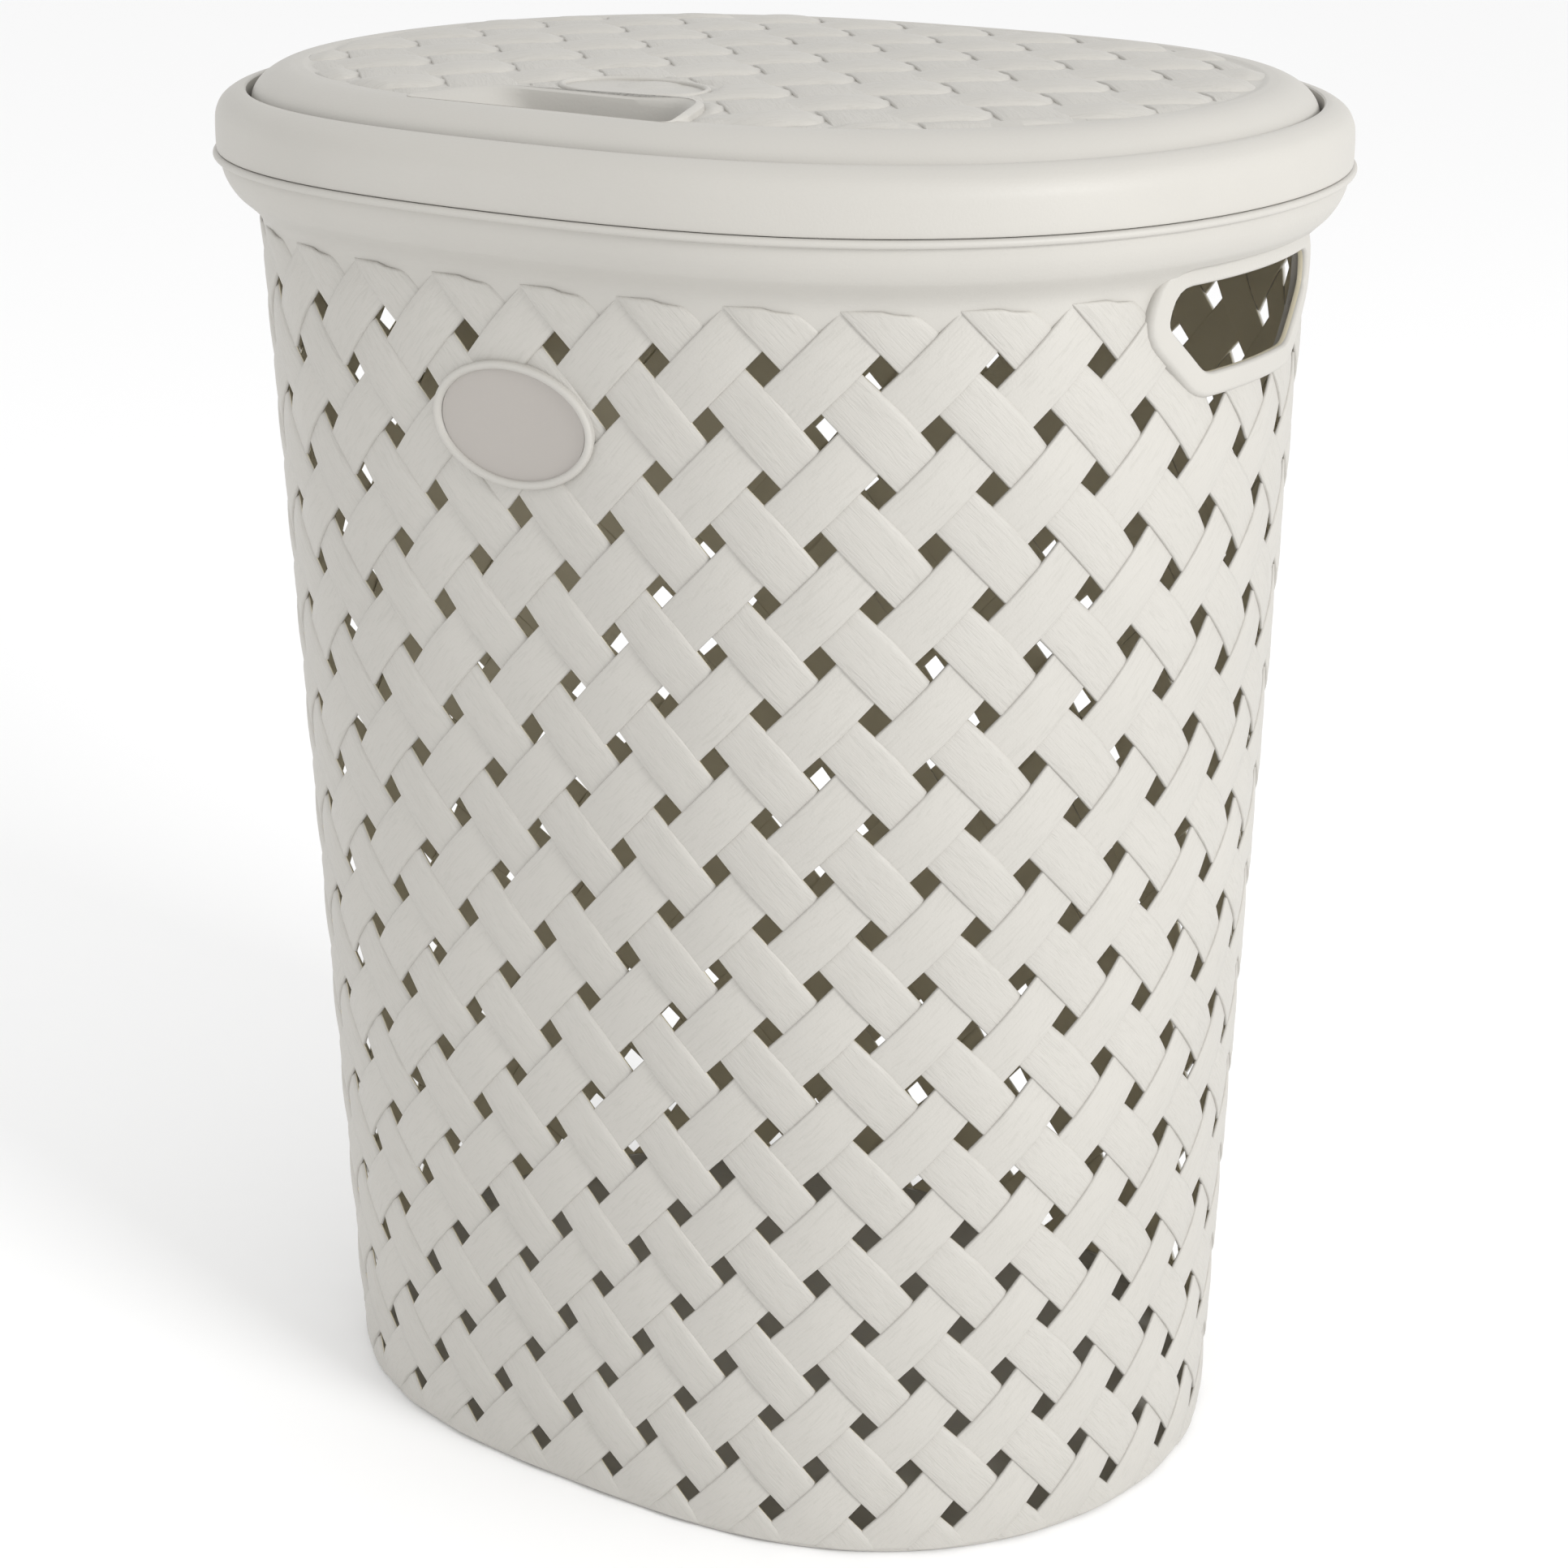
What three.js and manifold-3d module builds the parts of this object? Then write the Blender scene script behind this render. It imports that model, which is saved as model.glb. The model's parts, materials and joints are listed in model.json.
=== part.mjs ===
// Oval woven-look laundry hamper: a tapered basket with a flared rim, a lid frame that lifts off the
// rim, and a crowned lid hinged at the back of that frame. Millimetres, +Z up, origin at the centre
// of the underside. The front faces -Y and the hand-holds are at the two X ends.
import * as THREE from 'three';
import { mergeVertices } from 'three/addons/utils/BufferGeometryUtils.js';
import Module from 'manifold-3d';

const wasm = await Module();
wasm.setup();

// ---- driving dimensions ------------------------------------------------------------------------
const GAP = 0.3; // clearance between solids that touch
const SQUARENESS = 0.028; // how far the oval plan bulges at its diagonals

const FOOT_HALF = [200.8, 152.5]; // half length and half width at the floor
const SHOULDER_HALF = [217.4, 179.1]; // the same at the shoulder, where the flare starts
const SHOULDER_Z = 523;
const WALL = 2.2;

const COLUMNS = 60; // half pitches of the weave round the basket, counted from the front centre
const ROW_PITCH = 22;
const ROW_COUNT = 23;
const TOP_ROW_Z = 501.6;
const VENT_HALF = 0.31; // half diagonal of a vent, in half pitches
const RING_STATIONS = 60;

const FRAME_OUT = 15.8; // the lid frame's wall stands this far outside the shoulder line
const LEDGE_TOP = 563;
const LEDGE_THICK = 2.4;
const FRAME_LIP_OUT = 3.6;

const LID_HALF = [217.5, 179.5];
const LID_PANEL_HALF = [200, 160]; // outline of the woven panel on the lid
const LID_CROWN_Z = 590;
const LID_PANEL_EDGE_Z = 584;
const LID_THICK = 2.4;
const LID_LIP_BOTTOM = 563.4;

const HINGE_Y = 154;
const HINGE_Z = 573.6;
const PIN_RADIUS = 2.3;
const BORE_RADIUS = 2.5;
const EYE_RADIUS = 4.2;

const HAND_HOLD = { top: 525.2, wide: 514, bottom: 490.3, halfTop: 49, halfWide: 53.8, halfBottom: 32.7 };
const BEZEL_WIDTH = 9.5;
const BEZEL_PROUD = 3.4;

const FRONT_BADGE = { z: 470, halfLength: 36.5, halfHeight: 24.5, plate: 2.2, rim: 3.8, rimWidth: 3.2 };
const LID_BADGE = { y: -98, halfLength: 33, halfWidth: 20.5, plate: 1.6, rim: 3, rimWidth: 2.6 };
const FINGER_SLOT = { front: -160, back: -124, halfFront: 60, halfBack: 45 };

// ---- colours -------------------------------------------------------------------------------------
const moulded = new THREE.MeshStandardMaterial({ color: 0xd0cdc6, roughness: 0.62, metalness: 0 });
const plate = new THREE.MeshStandardMaterial({ color: 0xbeb9b2, roughness: 0.45, metalness: 0 });

// ---- the oval plan ---------------------------------------------------------------------------------
function ovalPoint(angle, a, b) {
  const ellipse = (a * b) / Math.hypot(b * Math.cos(angle), a * Math.sin(angle));
  const radius = (ellipse * (1 - SQUARENESS * Math.cos(4 * angle))) / (1 - SQUARENESS);
  return [radius * Math.cos(angle), radius * Math.sin(angle)];
}

const arcTables = new Map();

// Angles and arc lengths round an oval, starting at the front centre and going towards +X.
function arcTable(a, b) {
  const key = `${a.toFixed(3)}_${b.toFixed(3)}`;
  if (!arcTables.has(key)) {
    const steps = 720;
    const lengths = [0];
    let last = ovalPoint(-Math.PI / 2, a, b);
    for (let i = 1; i <= steps; i++) {
      const next = ovalPoint(-Math.PI / 2 + (2 * Math.PI * i) / steps, a, b);
      lengths.push(lengths[i - 1] + Math.hypot(next[0] - last[0], next[1] - last[1]));
      last = next;
    }
    arcTables.set(key, lengths);
  }
  return arcTables.get(key);
}

// The point on the oval at a column, where columns divide its arc length evenly.
function columnPoint(column, a, b) {
  const lengths = arcTable(a, b);
  const steps = lengths.length - 1;
  const turn = ((column % COLUMNS) + COLUMNS) % COLUMNS;
  const target = (turn / COLUMNS) * lengths[steps];
  let low = 0;
  let high = steps;
  while (high - low > 1) {
    const middle = (low + high) >> 1;
    if (lengths[middle] <= target) low = middle;
    else high = middle;
  }
  const share = (target - lengths[low]) / (lengths[high] - lengths[low]);
  return ovalPoint(-Math.PI / 2 + (2 * Math.PI * (low + share)) / steps, a, b);
}

// Half sizes of the wall's outer face at a height, moved outwards by an offset.
function wallHalf(z, offset = 0) {
  const rise = Math.min(z, SHOULDER_Z) / SHOULDER_Z;
  return FOOT_HALF.map((foot, i) => foot + (SHOULDER_HALF[i] - foot) * rise + offset);
}

// ---- solids ------------------------------------------------------------------------------------------
function facingOut(positions, faces) {
  let volume = 0;
  for (const [i, j, k] of faces) {
    const [p, q, r] = [positions[i], positions[j], positions[k]];
    volume += p[0] * (q[1] * r[2] - q[2] * r[1]);
    volume += p[1] * (q[2] * r[0] - q[0] * r[2]);
    volume += p[2] * (q[0] * r[1] - q[1] * r[0]);
  }
  const ordered = volume < 0 ? faces.map(([i, j, k]) => [i, k, j]) : faces;
  const geometry = new THREE.BufferGeometry();
  geometry.setAttribute('position', new THREE.Float32BufferAttribute(positions.flat(), 3));
  geometry.setIndex(ordered.flat());
  return geometry;
}

// Sweeps a closed loop of [half length, half width, z] sizes round the oval. A size of 0 is the centre.
function ovalSolid(loop, closed) {
  const positions = [];
  const rings = loop.map(([a, b, z]) => {
    if (a === 0) {
      positions.push([0, 0, z]);
      return Array(RING_STATIONS).fill(positions.length - 1);
    }
    return Array.from({ length: RING_STATIONS }, (_, s) => {
      const [x, y] = columnPoint((s * COLUMNS) / RING_STATIONS, a, b);
      positions.push([x, y, z]);
      return positions.length - 1;
    });
  });
  const faces = [];
  const count = closed ? rings.length : rings.length - 1;
  for (let r = 0; r < count; r++) {
    const here = rings[r];
    const next = rings[(r + 1) % rings.length];
    for (let s = 0; s < RING_STATIONS; s++) {
      const t = (s + 1) % RING_STATIONS;
      if (here[s] !== here[t]) faces.push([here[s], here[t], next[t]]);
      if (next[s] !== next[t]) faces.push([here[s], next[t], next[s]]);
    }
  }
  return facingOut(positions, faces);
}

// A ring whose section is a closed loop of [offset from the wall's outer face, z].
const ringSolid = (section) => ovalSolid(section.map(([d, z]) => [...wallHalf(z, d), z]), true);

const toManifold = (geometry) => {
  const bare = geometry.clone();
  bare.deleteAttribute('normal');
  bare.deleteAttribute('uv');
  const merged = mergeVertices(bare, 1e-4);
  const vertProperties = new Float32Array(merged.attributes.position.array);
  const triVerts = new Uint32Array(merged.index.array);
  return new wasm.Manifold(new wasm.Mesh({ numProp: 3, vertProperties, triVerts }));
};

const fromManifold = (solid) => {
  const { vertProperties, triVerts } = solid.getMesh();
  const geometry = new THREE.BufferGeometry();
  geometry.setAttribute('position', new THREE.BufferAttribute(new Float32Array(vertProperties), 3));
  geometry.setIndex(new THREE.BufferAttribute(new Uint32Array(triVerts), 1));
  return geometry;
};

// A prism along X, Y or Z of an outline given in the other two directions, in X, Y, Z order.
function prism(outline, axis, from, to) {
  const shape = new THREE.Shape(outline.map(([u, v]) => new THREE.Vector2(u, v)));
  const geometry = new THREE.ExtrudeGeometry(shape, { depth: to - from, bevelEnabled: false });
  geometry.translate(0, 0, axis === 'y' ? -to : from);
  const along = {
    x: new THREE.Matrix4().set(0, 0, 1, 0, 1, 0, 0, 0, 0, 1, 0, 0, 0, 0, 0, 1),
    y: new THREE.Matrix4().set(1, 0, 0, 0, 0, 0, -1, 0, 0, 1, 0, 0, 0, 0, 0, 1),
    z: new THREE.Matrix4(),
  };
  return toManifold(geometry.applyMatrix4(along[axis]));
}

const rectangle = (u0, v0, u1, v1) => [[u0, v0], [u1, v0], [u1, v1], [u0, v1]];

const ellipseOutline = (u, v, halfU, halfV, sides) =>
  Array.from({ length: sides }, (_, i) => {
    const angle = (2 * Math.PI * i) / sides;
    return [u + halfU * Math.cos(angle), v + halfV * Math.sin(angle)];
  });

const hamper = new THREE.Group();

function addPart(name, geometry, material = moulded) {
  const mesh = new THREE.Mesh(geometry, material);
  mesh.name = name;
  hamper.add(mesh);
}

// ---- woven wall panels -----------------------------------------------------------------------------
// Weave coordinates: u counts half pitches round the basket, v counts row pitches up from the top row.
const VENT_CLEAR = 1 - VENT_HALF;
const isVentSite = (u, row) => Math.abs((u + row) % 2) === 1;
const diamond = (u, v, half) => [[u + half, v], [u, v + half], [u - half, v], [u, v - half]];

// Places where a badge or a hand-hold bezel leaves no vents.
function isSolidSite(u, row) {
  const column = ((u + COLUMNS / 2) % COLUMNS) - COLUMNS / 2;
  const underBadge = (row === 1 && column === 0) || (row === 2 && Math.abs(column) === 1);
  const fromEnd = Math.abs(Math.abs(column) - COLUMNS / 4);
  const underBezel = row === 0 && fromEnd <= 2;
  return underBadge || underBezel;
}

// Keeps the part of a convex outline on one side of a line along u (index 0) or v (index 1).
function clip(outline, index, limit, keepBelow) {
  const inside = (p) => (keepBelow ? p[index] <= limit : p[index] >= limit);
  const kept = [];
  outline.forEach((p, i) => {
    const q = outline[(i + 1) % outline.length];
    if (inside(p)) kept.push(p);
    if (inside(p) !== inside(q)) {
      const along = (limit - p[index]) / (q[index] - p[index]);
      const other = p[1 - index] + along * (q[1 - index] - p[1 - index]);
      kept.push(index === 0 ? [limit, other] : [other, limit]);
    }
  });
  return kept;
}

// The outlines between the vents: a diamond where strips cross, and a strip's neck between two vents.
function weaveOutlines(uFrom, uTo) {
  const outlines = [];
  for (let row = -1; row <= ROW_COUNT; row++) {
    for (let u = Math.floor(uFrom) - 1; u <= Math.ceil(uTo) + 1; u++) {
      const v = -row;
      if (!isVentSite(u, row)) {
        outlines.push(diamond(u, v, VENT_CLEAR));
        continue;
      }
      const h = VENT_HALF;
      const c = VENT_CLEAR;
      outlines.push([[u + h, v], [u + 1, v + c], [u + c, v + 1], [u, v + h]]);
      outlines.push([[u, v + h], [u - c, v + 1], [u - 1, v + c], [u - h, v]]);
      if (isSolidSite(u, row)) outlines.push(diamond(u, v, h));
    }
  }
  return outlines;
}

// A curved panel of the wall between two columns, with a slanting lattice of diamond vents.
function wallPanel(columnFrom, columnTo) {
  const seam = GAP / 2 / ((2 * Math.PI * FOOT_HALF[0]) / COLUMNS);
  const [uFrom, uTo] = [columnFrom + seam, columnTo - seam];
  const [vFrom, vTo] = [-(ROW_COUNT - 0.5), 0.5];
  const positions = [];
  const corners = new Map();
  const corner = ([u, v]) => {
    const key = `${Math.round(u * 1e4)}_${Math.round(v * 1e4)}`;
    if (!corners.has(key)) {
      const z = TOP_ROW_Z + v * ROW_PITCH;
      corners.set(key, positions.length);
      for (const offset of [0, -WALL]) positions.push([...columnPoint(u, ...wallHalf(z, offset)), z]);
    }
    return corners.get(key);
  };
  const faces = [];
  const edges = new Map();
  for (const outline of weaveOutlines(uFrom, uTo)) {
    let piece = clip(outline, 0, uFrom, false);
    piece = clip(piece, 0, uTo, true);
    piece = clip(piece, 1, vFrom, false);
    piece = clip(piece, 1, vTo, true);
    const ids = piece.map(corner).filter((id, i, all) => id !== all[(i + 1) % all.length]);
    if (ids.length < 3) continue;
    for (let i = 1; i < ids.length - 1; i++) {
      faces.push([ids[0], ids[i], ids[i + 1]], [ids[0] + 1, ids[i + 1] + 1, ids[i] + 1]);
    }
    ids.forEach((id, i) => edges.set(`${id}_${ids[(i + 1) % ids.length]}`, [id, ids[(i + 1) % ids.length]]));
  }
  for (const [from, to] of edges.values()) {
    if (edges.has(`${to}_${from}`)) continue;
    faces.push([to, from, from + 1], [to, from + 1, to + 1]);
  }
  return facingOut(positions, faces);
}

// ---- hand-holds ------------------------------------------------------------------------------------
// Outline across an end wall, widened by a margin: narrow at the bottom, with soft top corners.
function handHoldOutline(margin) {
  const h = HAND_HOLD;
  const right = [
    [h.halfBottom - 5 + margin * 0.7, h.bottom - margin],
    [h.halfBottom + margin * 0.85, h.bottom + 3 - margin * 0.75],
    [h.halfWide + margin, h.wide - 1],
    [h.halfWide + margin * 0.98, h.wide + 3],
    [h.halfTop + margin, Math.min(h.top - 2 + margin, h.top + 3.5)],
    [h.halfTop - 6 + margin * 0.8, Math.min(h.top + margin, h.top + 4.5)],
  ];
  return [...right, ...right.map(([y, z]) => [-y, z]).reverse()];
}

const outside = 260; // beyond the rim in every direction
const handHoldCut = (side) =>
  side > 0 ? prism(handHoldOutline(0), 'x', 150, outside) : prism(handHoldOutline(0), 'x', -outside, -150);

// The flared rim's outer face from the shoulder to the bead, as [offset, z].
const FLARE_OUT = [[0, SHOULDER_Z], [2.4, 529], [5.2, 531.4], [9.1, 535], [11.9, 540]];
const BEAD_OUT = [[14.6, 545.6], [17.3, 548.2], [17, 551.4], [14.4, 553.3]];
const BEAD_IN = [[12.3, 552.4], [11.8, 546.6]];
const FLARE_IN = [[9.4, 540.8], [6.4, 536.4], [2.6, 533.2], [0, 530.2], [-WALL, 522]];

// ---- basket ------------------------------------------------------------------------------------------
const wallTop = TOP_ROW_Z + ROW_PITCH / 2;
const wallBottom = TOP_ROW_Z - (ROW_COUNT - 0.5) * ROW_PITCH;
const footTop = wallBottom - GAP;
const floorThick = 2.6;
const [footA, footB] = FOOT_HALF;
addPart('basket_base', ovalSolid([
  [0, 0, 0],
  [footA - 5, footB - 5, 0],
  [footA - 1.6, footB - 1.6, 1],
  [...wallHalf(3), 3],
  [...wallHalf(footTop), footTop],
  [...wallHalf(footTop, -WALL), footTop],
  [footA - WALL - 1.5, footB - WALL - 1.5, floorThick],
  [0, 0, floorThick],
], false));

const PANELS = [
  ['basket_wall_front', -7.5, 7.5],
  ['basket_wall_right', 7.5, 22.5],
  ['basket_wall_back', 22.5, 37.5],
  ['basket_wall_left', 37.5, 52.5],
];
for (const [name, from, to] of PANELS) {
  const panel = wallPanel(from, to);
  const side = { basket_wall_right: 1, basket_wall_left: -1 }[name];
  addPart(name, side ? fromManifold(toManifold(panel).subtract(handHoldCut(side))) : panel);
}

const rimBottom = wallTop + GAP;
const rimSection = [[0, rimBottom], ...FLARE_OUT, ...BEAD_OUT, ...BEAD_IN, ...FLARE_IN, [-WALL, rimBottom]];
const rim = toManifold(ringSolid(rimSection)).subtract(handHoldCut(1)).subtract(handHoldCut(-1));
addPart('basket_rim', fromManifold(rim));

// A skin lying on the wall between two heights, its faces at two distances from the wall.
const wallSkin = (zFrom, zTo, near, far) => {
  const heights = [zFrom, ...FLARE_OUT.map(([, z]) => z).filter((z) => z > zFrom && z < zTo), zTo];
  const flareAt = (z) => {
    const above = FLARE_OUT.findIndex(([, level]) => level >= z);
    if (above <= 0) return 0;
    const [[d0, z0], [d1, z1]] = [FLARE_OUT[above - 1], FLARE_OUT[above]];
    return d0 + ((d1 - d0) * (z - z0)) / (z1 - z0);
  };
  const inner = heights.map((z) => [flareAt(z) + near, z]);
  const outer = heights.map((z) => [flareAt(z) + far, z]).reverse();
  return toManifold(ringSolid([...inner, ...outer]));
};

for (const [name, from, to] of [['hand_hold_bezel_right', 150, outside], ['hand_hold_bezel_left', -outside, -150]]) {
  const skin = wallSkin(HAND_HOLD.bottom - BEZEL_WIDTH - 2, 530, GAP, BEZEL_PROUD);
  const band = prism(handHoldOutline(BEZEL_WIDTH), 'x', from, to).subtract(prism(handHoldOutline(0), 'x', from, to));
  addPart(name, fromManifold(skin.intersect(band)));
}

// ---- badges: a thin oval plate in a raised oval rim ---------------------------------------------------
function badge(skinTo, cutter, size, halfV) {
  const whole = cutter(size.halfLength, halfV);
  const inside = cutter(size.halfLength - size.rimWidth, halfV - size.rimWidth);
  return fromManifold(skinTo(size.plate).intersect(whole).add(skinTo(size.rim).intersect(whole.subtract(inside))));
}

const frontBadgeSkin = (far) => {
  const reach = FRONT_BADGE.halfHeight + 2;
  return wallSkin(FRONT_BADGE.z - reach, FRONT_BADGE.z + reach, GAP, far);
};
const frontBadgeCutter = (halfU, halfV) =>
  prism(ellipseOutline(0, FRONT_BADGE.z, halfU, halfV, 32), 'y', -outside, -100);
addPart('front_badge', badge(frontBadgeSkin, frontBadgeCutter, FRONT_BADGE, FRONT_BADGE.halfHeight), plate);

// ---- lid frame ---------------------------------------------------------------------------------------
const frameBottom = 553.6;
const skirtOut = 11;
const skirtIn = 8.8;
const frameInner = FRAME_OUT - LID_THICK;
const ledgeUnder = LEDGE_TOP - LEDGE_THICK;
const frameSection = [
  [FRAME_OUT, frameBottom], [FRAME_OUT, 565], [15.1, 568.6], [12.8, 572.2], [9.2, 574.9], [5.6, 576.2],
  [FRAME_LIP_OUT, 575.8], [FRAME_LIP_OUT, LEDGE_TOP], [-7, LEDGE_TOP], [-7, ledgeUnder], [skirtIn, ledgeUnder],
  [skirtIn, 546.6], [skirtOut, 546.6], [skirtOut, 562.4], [frameInner, 562.4], [frameInner, frameBottom],
];
// A bearing stands on the ledge at each end of the hinge line and holds one trunnion of the lid.
const bearingFrom = 103.5;
const bearingTo = 110.5;
const bearingClear = 1.2;
const mirrored = (side, from, to) => (side > 0 ? [from, to] : [-to, -from]);
// Elsewhere behind the hinge the ledge is left out, so that the lid's back edge can swing down.
const lipOutline = Array.from({ length: RING_STATIONS }, (_, s) =>
  columnPoint((s * COLUMNS) / RING_STATIONS, ...wallHalf(LEDGE_TOP, FRAME_LIP_OUT)));
const ledgeTab = (side) => {
  const [from, to] = mirrored(side, bearingFrom, bearingTo);
  return prism(rectangle(from, HINGE_Y - 12, to, 200), 'z', ledgeUnder - 1, LEDGE_TOP + 1);
};
const ledgeGap = prism(lipOutline, 'z', ledgeUnder - 1, LEDGE_TOP + 1)
  .intersect(prism(rectangle(-150, HINGE_Y - 9, 150, 200), 'z', ledgeUnder - 1, LEDGE_TOP + 1))
  .subtract(ledgeTab(1)).subtract(ledgeTab(-1));
addPart('lid_frame', fromManifold(toManifold(ringSolid(frameSection)).subtract(ledgeGap)));

for (const [name, side] of [['hinge_bearing_right', 1], ['hinge_bearing_left', -1]]) {
  const [from, to] = mirrored(side, bearingFrom, bearingTo);
  const eye = ellipseOutline(HINGE_Y, HINGE_Z, EYE_RADIUS, EYE_RADIUS, 20);
  const foot = rectangle(HINGE_Y - 4, LEDGE_TOP + GAP, HINGE_Y + 6, HINGE_Z - 3);
  const neck = rectangle(HINGE_Y - 3, HINGE_Z - 5, HINGE_Y + 3, HINGE_Z);
  const bore = ellipseOutline(HINGE_Y, HINGE_Z, BORE_RADIUS, BORE_RADIUS, 20);
  const block = prism(eye, 'x', from, to).add(prism(neck, 'x', from, to)).add(prism(foot, 'x', from, to));
  addPart(name, fromManifold(block.subtract(prism(bore, 'x', from - 1, to + 1))));
}

// ---- lid -----------------------------------------------------------------------------------------------
const [panelA, panelB] = LID_PANEL_HALF;
const [lidA, lidB] = LID_HALF;
const crownRing = (share) => [
  panelA * share, panelB * share, LID_CROWN_Z - (LID_CROWN_Z - LID_PANEL_EDGE_Z) * share ** 2];
const lidTopRings = [
  crownRing(0), crownRing(1 / 2), crownRing(1),
  [207.5, 168, 582.4], [213.4, 174.8, 579.4], [216.4, 178.2, 576.4], [lidA, lidB, 573],
];
const lidUnderRings = [
  [lidA - LID_THICK, lidB - LID_THICK, 571.8], [212.6, 174, 576], [206.5, 167, 579.6],
  ...[1, 1 / 2, 0].map(crownRing).map(([a, b, z]) => [a, b, z - LID_THICK]),
];
const lidSolid = toManifold(ovalSolid([
  ...lidTopRings,
  [lidA, lidB, LID_LIP_BOTTOM],
  [lidA - LID_THICK, lidB - LID_THICK, LID_LIP_BOTTOM],
  ...lidUnderRings,
], false));
const slot = FINGER_SLOT;
const fingerCut = prism([
  [-slot.halfFront, slot.front], [slot.halfFront, slot.front], [slot.halfBack, slot.back], [-slot.halfBack, slot.back],
], 'z', 540, 620);
// The lid's back edge is notched at each end of the hinge line, where it swings down past a bearing.
const edgeNotch = (side) => {
  const [from, to] = mirrored(side, bearingFrom - bearingClear, bearingTo + bearingClear);
  return prism(rectangle(from, HINGE_Y + 1, to, 180), 'z', 540, 620);
};
const lid = lidSolid.subtract(fingerCut).subtract(edgeNotch(1)).subtract(edgeNotch(-1));
addPart('lid', fromManifold(lid));

for (const [name, side] of [['hinge_trunnion_right', 1], ['hinge_trunnion_left', -1]]) {
  const [lugFrom, lugTo] = mirrored(side, 97.5, 101.5);
  const [pinFrom, pinTo] = mirrored(side, 101, 112);
  const lug = prism(ellipseOutline(HINGE_Y, HINGE_Z, EYE_RADIUS, EYE_RADIUS, 20), 'x', lugFrom, lugTo)
    .add(prism(rectangle(HINGE_Y - EYE_RADIUS, HINGE_Z, HINGE_Y + EYE_RADIUS, 580), 'x', lugFrom, lugTo));
  const pin = prism(ellipseOutline(HINGE_Y, HINGE_Z, PIN_RADIUS, PIN_RADIUS, 20), 'x', pinFrom, pinTo);
  const underLid = lidSolid.translate([0, 0, -GAP]);
  addPart(name, fromManifold(lug.subtract(underLid).add(pin)));
}

// A skin lying on the lid's crown, its underside just above the lid.
const lidSkin = (far) => {
  const raised = (lift) => lidTopRings.slice(0, 3).map(([a, b, z]) => [a, b, z + lift]);
  return toManifold(ovalSolid([...raised(far), ...raised(GAP).reverse()], false));
};
const lidBadgeCutter = (halfU, halfV) => prism(ellipseOutline(0, LID_BADGE.y, halfU, halfV, 32), 'z', 560, 620);
addPart('lid_badge', badge(lidSkin, lidBadgeCutter, LID_BADGE, LID_BADGE.halfWidth), plate);

export default hamper;
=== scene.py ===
"""Looks for the woven laundry hamper: moulded weave strips, rim, lid frame, lid and badges round the CAD frame."""
import json
from math import cos, pi, radians, sin

import bmesh
import bpy
import numpy as np
from mathutils import Matrix, Vector


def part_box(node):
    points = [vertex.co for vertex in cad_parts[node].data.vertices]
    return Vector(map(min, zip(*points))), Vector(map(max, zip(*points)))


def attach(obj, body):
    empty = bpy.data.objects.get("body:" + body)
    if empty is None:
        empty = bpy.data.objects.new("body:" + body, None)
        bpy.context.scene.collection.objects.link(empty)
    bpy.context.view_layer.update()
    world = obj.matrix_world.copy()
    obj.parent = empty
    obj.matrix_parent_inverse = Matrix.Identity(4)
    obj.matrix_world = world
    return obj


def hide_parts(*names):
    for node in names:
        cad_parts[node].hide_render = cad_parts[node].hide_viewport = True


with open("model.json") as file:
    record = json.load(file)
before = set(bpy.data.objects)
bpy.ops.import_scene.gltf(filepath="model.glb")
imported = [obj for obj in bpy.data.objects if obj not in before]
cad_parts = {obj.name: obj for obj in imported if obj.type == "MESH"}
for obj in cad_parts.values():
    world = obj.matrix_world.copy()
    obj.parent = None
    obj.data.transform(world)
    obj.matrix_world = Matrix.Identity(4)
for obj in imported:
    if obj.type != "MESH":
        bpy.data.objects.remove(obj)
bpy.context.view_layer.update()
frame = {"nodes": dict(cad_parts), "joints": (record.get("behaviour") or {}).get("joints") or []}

MM = 0.001
MOULDED_EDGE = 38        # degrees above which a moulding's edge reads as sharp

# ---- the oval plan ------------------------------------------------------------------------------
SQUARENESS = 0.028       # how far the oval bulges at its diagonals
COLUMNS = 60             # half pitches of the weave round the basket
QUARTER = COLUMNS / 4    # columns from the front centre to the right end

RATIOS = np.linspace(0.70, 1.0, 31)
ARC_STEPS = 1440


def oval_radius(angle, a, b):
    """The distance from the centre to an oval of half sizes a and b, in a direction."""
    ellipse = a * b / np.hypot(b * np.cos(angle), a * np.sin(angle))
    return ellipse * (1 - SQUARENESS * np.cos(4 * angle)) / (1 - SQUARENESS)


def _arc_angles():
    """For each width-to-length ratio, the angle at evenly spaced arc lengths round the oval."""
    angles = np.linspace(-pi / 2, 1.5 * pi, ARC_STEPS + 1)
    rows = []
    for ratio in RATIOS:
        r = oval_radius(angles, 1.0, ratio)
        x, y = r * np.cos(angles), r * np.sin(angles)
        length = np.concatenate([[0], np.cumsum(np.hypot(np.diff(x), np.diff(y)))])
        even = np.linspace(0, length[-1], ARC_STEPS + 1)
        rows.append(np.interp(even, length, angles))
    return np.array(rows)


ARC_ANGLES = _arc_angles()


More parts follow.
